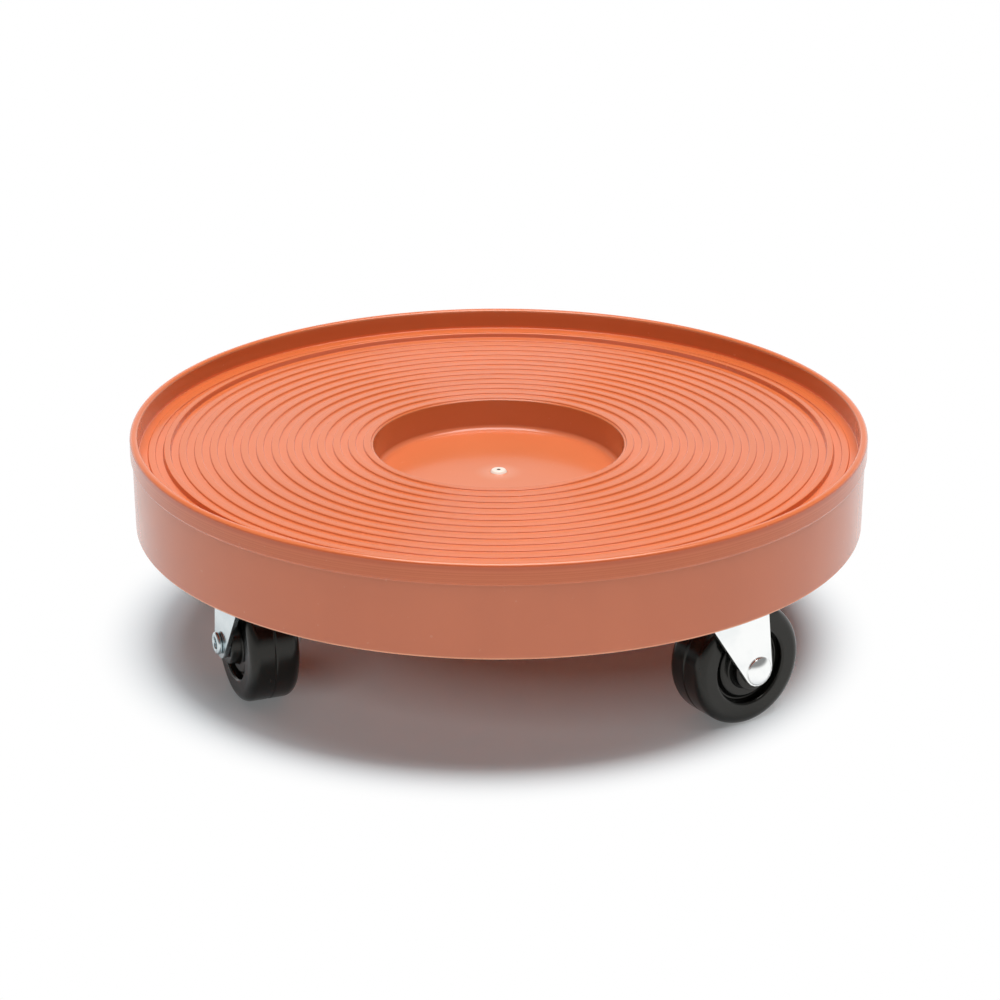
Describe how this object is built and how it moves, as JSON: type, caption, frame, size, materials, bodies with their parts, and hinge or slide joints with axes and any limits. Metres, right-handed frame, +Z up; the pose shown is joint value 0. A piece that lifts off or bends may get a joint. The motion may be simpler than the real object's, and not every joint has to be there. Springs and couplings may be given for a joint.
{
  "type": "plant pot caddy",
  "caption": "Round moulded deck with a raised rim, ringed pot seat and central well, on swivel stem casters, for rolling a potted plant about.",
  "frame": {"origin": "on the ground under the middle of the deck", "axes": "+Z up, the front of the caddy faces -Y, the casters lie on the diagonals"},
  "size_m": [0.3048, 0.3048, 0.096],
  "materials": {
    "terracotta_plastic": "semi-gloss moulded",
    "black_wheel": "semi-gloss moulded",
    "zinc_plate": "bright zinc plate",
    "steel": "plain turned steel",
    "spring_steel": "dark spring steel"
  },
  "bodies": {
    "deck": {"deck": "terracotta_plastic", "front_left_stem": "steel", "front_left_grip_ring": "spring_steel", "front_left_race_cap": "zinc_plate", "front_left_king_washer": "zinc_plate", "front_right_stem": "steel", "front_right_grip_ring": "spring_steel", "front_right_race_cap": "zinc_plate", "front_right_king_washer": "zinc_plate", "rear_left_stem": "steel", "rear_left_grip_ring": "spring_steel", "rear_left_race_cap": "zinc_plate", "rear_left_king_washer": "zinc_plate", "rear_right_stem": "steel", "rear_right_grip_ring": "spring_steel", "rear_right_race_cap": "zinc_plate", "rear_right_king_washer": "zinc_plate"},
    "front_left_caster": {"front_left_fork": "zinc_plate", "front_left_axle_rivet": "zinc_plate", "front_left_axle_sleeve": "steel"},
    "front_left_wheel": {"front_left_wheel": "black_wheel"},
    "front_left_balls": {"front_left_bearing_balls": "steel"},
    "front_right_caster": {"front_right_fork": "zinc_plate", "front_right_axle_rivet": "zinc_plate", "front_right_axle_sleeve": "steel"},
    "front_right_wheel": {"front_right_wheel": "black_wheel"},
    "front_right_balls": {"front_right_bearing_balls": "steel"},
    "rear_left_caster": {"rear_left_fork": "zinc_plate", "rear_left_axle_rivet": "zinc_plate", "rear_left_axle_sleeve": "steel"},
    "rear_left_wheel": {"rear_left_wheel": "black_wheel"},
    "rear_left_balls": {"rear_left_bearing_balls": "steel"},
    "rear_right_caster": {"rear_right_fork": "zinc_plate", "rear_right_axle_rivet": "zinc_plate", "rear_right_axle_sleeve": "steel"},
    "rear_right_wheel": {"rear_right_wheel": "black_wheel"},
    "rear_right_balls": {"rear_right_bearing_balls": "steel"}
  },
  "joints": [
    {"name": "front_left_swivel", "type": "hinge", "parent": "deck", "child": "front_left_caster", "pos_m": [-0.0845, -0.0845, 0.0554], "axis": [0, 0, 1], "continuous": true},
    {"name": "front_left_spin", "type": "hinge", "parent": "front_left_caster", "child": "front_left_wheel", "pos_m": [-0.09309, -0.06688, 0.0254], "axis": [-0.8988, -0.4384, 0], "continuous": true},
    {"name": "front_left_ball_roll", "type": "hinge", "parent": "deck", "child": "front_left_balls", "pos_m": [-0.0845, -0.0845, 0.05684], "axis": [0, 0, 1], "continuous": true},
    {"name": "front_right_swivel", "type": "hinge", "parent": "deck", "child": "front_right_caster", "pos_m": [0.0845, -0.0845, 0.0554], "axis": [0, 0, 1], "continuous": true},
    {"name": "front_right_spin", "type": "hinge", "parent": "front_right_caster", "child": "front_right_wheel", "pos_m": [0.0999, -0.07238, 0.0254], "axis": [-0.6184, 0.7859, 0], "continuous": true},
    {"name": "front_right_ball_roll", "type": "hinge", "parent": "deck", "child": "front_right_balls", "pos_m": [0.0845, -0.0845, 0.05684], "axis": [0, 0, 1], "continuous": true},
    {"name": "rear_left_swivel", "type": "hinge", "parent": "deck", "child": "rear_left_caster", "pos_m": [-0.0845, 0.0845, 0.0554], "axis": [0, 0, 1], "continuous": true},
    {"name": "rear_left_spin", "type": "hinge", "parent": "rear_left_caster", "child": "rear_left_wheel", "pos_m": [-0.0778, 0.10292, 0.0254], "axis": [-0.9397, 0.342, 0], "continuous": true},
    {"name": "rear_left_ball_roll", "type": "hinge", "parent": "deck", "child": "rear_left_balls", "pos_m": [-0.0845, 0.0845, 0.05684], "axis": [0, 0, 1], "continuous": true},
    {"name": "rear_right_swivel", "type": "hinge", "parent": "deck", "child": "rear_right_caster", "pos_m": [0.0845, 0.0845, 0.0554], "axis": [0, 0, 1], "continuous": true},
    {"name": "rear_right_spin", "type": "hinge", "parent": "rear_right_caster", "child": "rear_right_wheel", "pos_m": [0.07943, 0.10343, 0.0254], "axis": [-0.9659, -0.2588, 0], "continuous": true},
    {"name": "rear_right_ball_roll", "type": "hinge", "parent": "deck", "child": "rear_right_balls", "pos_m": [0.0845, 0.0845, 0.05684], "axis": [0, 0, 1], "continuous": true}
  ],
  "couplings": [
    {"joint": "front_left_ball_roll", "follows": "front_left_swivel", "ratio": 0.5},
    {"joint": "front_right_ball_roll", "follows": "front_right_swivel", "ratio": 0.5},
    {"joint": "rear_left_ball_roll", "follows": "rear_left_swivel", "ratio": 0.5},
    {"joint": "rear_right_ball_roll", "follows": "rear_right_swivel", "ratio": 0.5}
  ]
}
